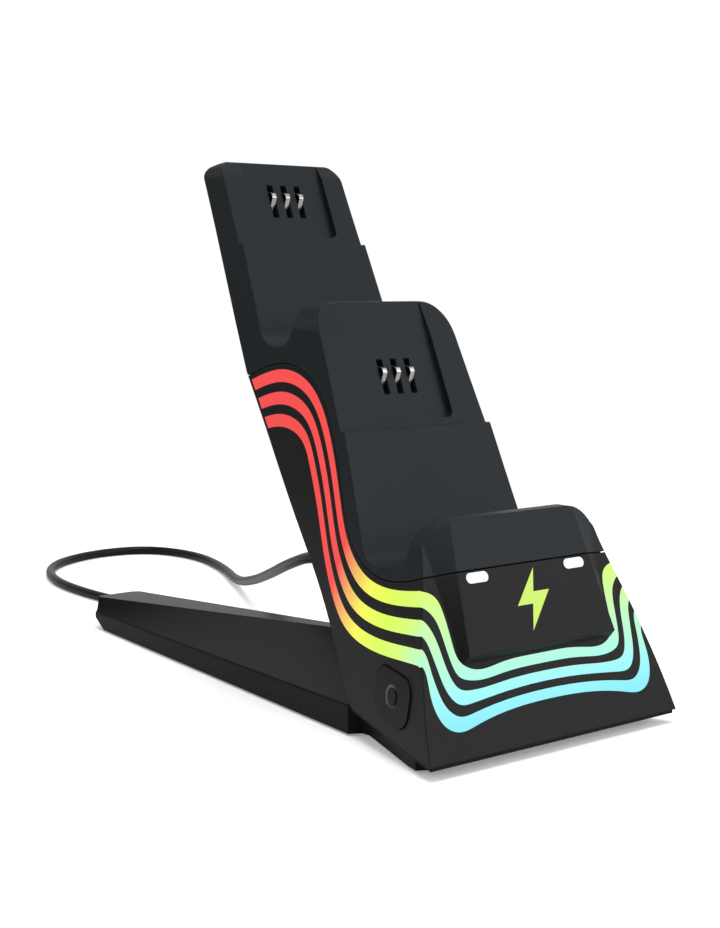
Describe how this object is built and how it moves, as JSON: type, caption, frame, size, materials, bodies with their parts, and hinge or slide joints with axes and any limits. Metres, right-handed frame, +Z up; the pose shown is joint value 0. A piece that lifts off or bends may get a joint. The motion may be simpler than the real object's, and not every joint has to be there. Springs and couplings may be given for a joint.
{
  "type": "controller charging dock",
  "caption": "Desk dock that holds and charges game controllers one above the other: raked tower with cradles, lit bands round its foot, a long rear leg and a USB lead",
  "frame": {"origin": "on the desk, under the middle of the dock's own box, without its cable", "axes": "+X to the dock's right as seen from the front, +Y to the back along the leg, +Z up"},
  "size_m": [0.1493, 0.3412, 0.1534],
  "materials": {
    "housing_plastic": "fine-textured near-black charcoal",
    "cradle_plastic": "fine-textured charcoal, slightly blue",
    "cover_plastic": "plain black moulding",
    "rubber": "matt black rubber",
    "band_light": "translucent light guide, lit from red at the back to blue at the front",
    "white_lens": "white lit lens",
    "emblem_light": "yellow-green lit lens",
    "button_plastic": "charcoal button",
    "switch_plastic": "black switch body",
    "circuit_board": "green circuit board",
    "carrier_plastic": "black contact carrier",
    "steel": "plain steel",
    "contact_metal": "plated spring strip",
    "cable_sheath": "satin black cable sheath",
    "tie_plastic": "black hook-and-loop tie",
    "plug_plastic": "black overmoulded grip",
    "plug_metal": "plated plug shell"
  },
  "bodies": {
    "dock": {"side_housing": "housing_plastic", "cradle_shell": "cradle_plastic", "back_cover": "cover_plastic", "base_tray": "cover_plastic", "leg_cover": "housing_plastic", "leg_pad": "rubber", "front_feet": "rubber", "light_band_upper": "band_light", "light_band_middle": "band_light", "light_band_lower": "band_light", "indicator_lens_left": "white_lens", "indicator_lens_right": "white_lens", "emblem_lens": "emblem_light", "button_switch": "switch_plastic", "main_board": "circuit_board", "contact_carrier_upper": "carrier_plastic", "contact_carrier_lower": "carrier_plastic", "contact_board_upper": "circuit_board", "contact_board_lower": "circuit_board", "led_strip_left": "circuit_board", "led_strip_right": "circuit_board", "led_strip_front": "circuit_board", "ballast_plate": "steel", "back_screws": "steel", "base_screws": "steel", "cable_gland": "cable_sheath", "usb_cable": "cable_sheath", "cable_coil": "cable_sheath", "cable_tie": "tie_plastic", "plug_body": "plug_plastic", "plug_shell": "plug_metal"},
    "button": {"power_button": "button_plastic"},
    "contact_upper_left_leaf": {"contact_upper_left": "contact_metal"},
    "contact_upper_middle_leaf": {"contact_upper_middle": "contact_metal"},
    "contact_upper_right_leaf": {"contact_upper_right": "contact_metal"},
    "contact_lower_left_leaf": {"contact_lower_left": "contact_metal"},
    "contact_lower_middle_leaf": {"contact_lower_middle": "contact_metal"},
    "contact_lower_right_leaf": {"contact_lower_right": "contact_metal"}
  },
  "joints": [
    {"name": "button_press", "type": "slide", "parent": "dock", "child": "button", "axis": [1, 0, 0], "range_m": [0, 0.001], "stiffness_N_per_m": 800},
    {"name": "contact_upper_left_flex", "type": "hinge", "parent": "dock", "child": "contact_upper_left_leaf", "pos_m": [-0.005, 0.00858, 0.13713], "axis": [-1, 0, 0], "range_deg": [0, 8], "stiffness_Nm_per_rad": 0.01},
    {"name": "contact_upper_middle_flex", "type": "hinge", "parent": "dock", "child": "contact_upper_middle_leaf", "pos_m": [0, 0.00858, 0.13713], "axis": [-1, 0, 0], "range_deg": [0, 8], "stiffness_Nm_per_rad": 0.01},
    {"name": "contact_upper_right_flex", "type": "hinge", "parent": "dock", "child": "contact_upper_right_leaf", "pos_m": [0.005, 0.00858, 0.13713], "axis": [-1, 0, 0], "range_deg": [0, 8], "stiffness_Nm_per_rad": 0.01},
    {"name": "contact_lower_left_flex", "type": "hinge", "parent": "dock", "child": "contact_lower_left_leaf", "pos_m": [-0.005, -0.04143, 0.08773], "axis": [-1, 0, 0], "range_deg": [0, 8], "stiffness_Nm_per_rad": 0.01},
    {"name": "contact_lower_middle_flex", "type": "hinge", "parent": "dock", "child": "contact_lower_middle_leaf", "pos_m": [0, -0.04143, 0.08773], "axis": [-1, 0, 0], "range_deg": [0, 8], "stiffness_Nm_per_rad": 0.01},
    {"name": "contact_lower_right_flex", "type": "hinge", "parent": "dock", "child": "contact_lower_right_leaf", "pos_m": [0.005, -0.04143, 0.08773], "axis": [-1, 0, 0], "range_deg": [0, 8], "stiffness_Nm_per_rad": 0.01}
  ]
}
